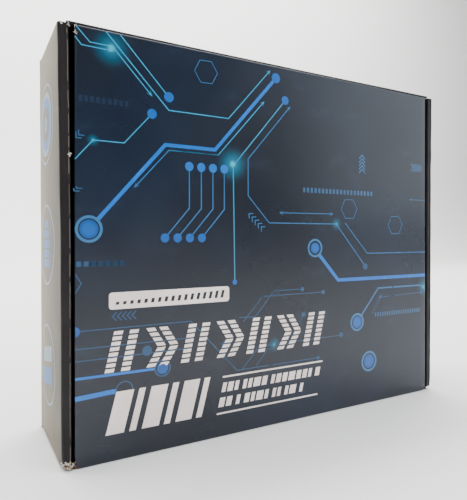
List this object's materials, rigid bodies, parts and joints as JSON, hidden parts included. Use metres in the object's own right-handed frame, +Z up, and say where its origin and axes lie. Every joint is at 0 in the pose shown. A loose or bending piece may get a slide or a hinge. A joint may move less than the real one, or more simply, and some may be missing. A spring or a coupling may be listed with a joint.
{
  "type": "boxed massage gun",
  "caption": "Printed corrugated mailer carton with a hinged tuck-flap lid, holding a percussion massage gun and its spare heads in a foam tray.",
  "frame": {"origin": "middle of the carton's bottom face, which is the outside of its hinge wall", "axes": "+Z up, the printed lid faces -Y, +X is to the right for someone who looks at the lid"},
  "size_m": [0.263, 0.064, 0.216],
  "materials": {
    "printed_board": "satin film over corrugated board, kraft brown inside",
    "tray_foam": "matt closed-cell foam",
    "housing_plastic": "fine spark-eroded texture",
    "soft_grip": "matt silicone",
    "display_glass": "smoked, polished",
    "board_laminate": "solder mask",
    "satin_metal": "bead-blasted and anodised",
    "sliding_plastic": "moulded",
    "steel": "ground",
    "cast_metal": "as machined",
    "light_plastic": "translucent, fine matt",
    "cell_wrap": "shrink film",
    "core_steel": "varnished laminations",
    "copper_wire": "enamelled copper",
    "head_rubber": "soft closed-cell foam rubber",
    "head_plastic": "fine texture"
  },
  "bodies": {
    "carton_and_gun": {"base_panel": "printed_board", "hinge_wall": "printed_board", "tuck_wall": "printed_board", "left_outer_wall": "printed_board", "right_outer_wall": "printed_board", "left_rolled_edge": "printed_board", "right_rolled_edge": "printed_board", "left_inner_wall": "printed_board", "right_inner_wall": "printed_board", "corner_flaps": "printed_board", "foam_base_layer": "tray_foam", "foam_top_layer": "tray_foam", "housing_left": "housing_plastic", "housing_right": "housing_plastic", "rear_cap": "housing_plastic", "bottom_cap": "housing_plastic", "grip_sleeve": "soft_grip", "wiper_seal": "soft_grip", "head_o_rings": "soft_grip", "display_window": "display_glass", "control_board": "board_laminate", "power_board": "board_laminate", "nose_ring": "satin_metal", "plunger_bush": "sliding_plastic", "battery_holders": "sliding_plastic", "housing_screws": "steel", "charging_port": "steel", "motor_bearings": "steel", "motor_mount": "cast_metal", "charge_light_ring": "light_plastic", "battery_cells": "cell_wrap", "stator_core": "core_steel", "stator_coils": "copper_wire", "ball_head": "head_rubber", "fork_head": "head_rubber", "cushion_head": "head_rubber", "flat_head": "head_plastic", "bullet_head": "head_plastic", "spade_head": "head_plastic", "head_shanks": "head_plastic"},
    "lid": {"lid_panel": "printed_board"},
    "tuck": {"tuck_flap": "printed_board"},
    "ear_left": {"left_ear": "printed_board"},
    "ear_right": {"right_ear": "printed_board"},
    "rotor": {"rotor_bell": "steel", "rotor_magnets": "core_steel", "motor_shaft": "steel", "crank_hub": "cast_metal", "crank_bearing": "steel", "crank_washer": "steel"},
    "rod": {"connecting_rod": "steel", "gudgeon_pin": "steel"},
    "ram": {"plunger": "satin_metal"},
    "minus_key": {"minus_button": "light_plastic"},
    "power_key": {"power_button": "light_plastic"},
    "plus_key": {"plus_button": "light_plastic"}
  },
  "joints": [
    {"name": "lid_hinge", "type": "hinge", "parent": "carton_and_gun", "child": "lid", "pos_m": [0, -0.032, 0], "axis": [1, 0, 0], "range_deg": [0, 90]},
    {"name": "tuck_fold", "type": "hinge", "parent": "lid", "child": "tuck", "pos_m": [0, -0.032, 0.2142], "axis": [1, 0, 0], "range_deg": [0, 30]},
    {"name": "right_ear_fold", "type": "hinge", "parent": "lid", "child": "ear_right", "pos_m": [0.125, -0.032, 0], "axis": [0, 0, -1], "range_deg": [0, 15]},
    {"name": "left_ear_fold", "type": "hinge", "parent": "lid", "child": "ear_left", "pos_m": [-0.125, -0.032, 0], "axis": [0, 0, 1], "range_deg": [0, 15]},
    {"name": "motor_spin", "type": "hinge", "parent": "carton_and_gun", "child": "rotor", "pos_m": [0.02, 0, 0.172], "axis": [0, 0, 1], "continuous": true},
    {"name": "rod_swing", "type": "hinge", "parent": "rotor", "child": "rod", "pos_m": [0.025, 0, 0.172], "axis": [0, 0, 1], "continuous": true},
    {"name": "plunger_slide", "type": "slide", "parent": "carton_and_gun", "child": "ram", "axis": [-1, 0, 0], "range_m": [0, 0.01]},
    {"name": "minus_press", "type": "slide", "parent": "carton_and_gun", "child": "minus_key", "axis": [-1, 0, 0], "range_m": [0, 0.0008], "stiffness_N_per_m": 400, "springref_m": -0.0005},
    {"name": "power_press", "type": "slide", "parent": "carton_and_gun", "child": "power_key", "axis": [-1, 0, 0], "range_m": [0, 0.0008], "stiffness_N_per_m": 400, "springref_m": -0.0005},
    {"name": "plus_press", "type": "slide", "parent": "carton_and_gun", "child": "plus_key", "axis": [-1, 0, 0], "range_m": [0, 0.0008], "stiffness_N_per_m": 400, "springref_m": -0.0005}
  ],
  "couplings": [
    {"joint": "tuck_fold", "follows": "lid_hinge", "ratio": 0.33},
    {"joint": "right_ear_fold", "follows": "lid_hinge", "ratio": 0.16},
    {"joint": "left_ear_fold", "follows": "lid_hinge", "ratio": 0.16},
    {"joint": "rod_swing", "follows": "motor_spin", "ratio": -1}
  ]
}
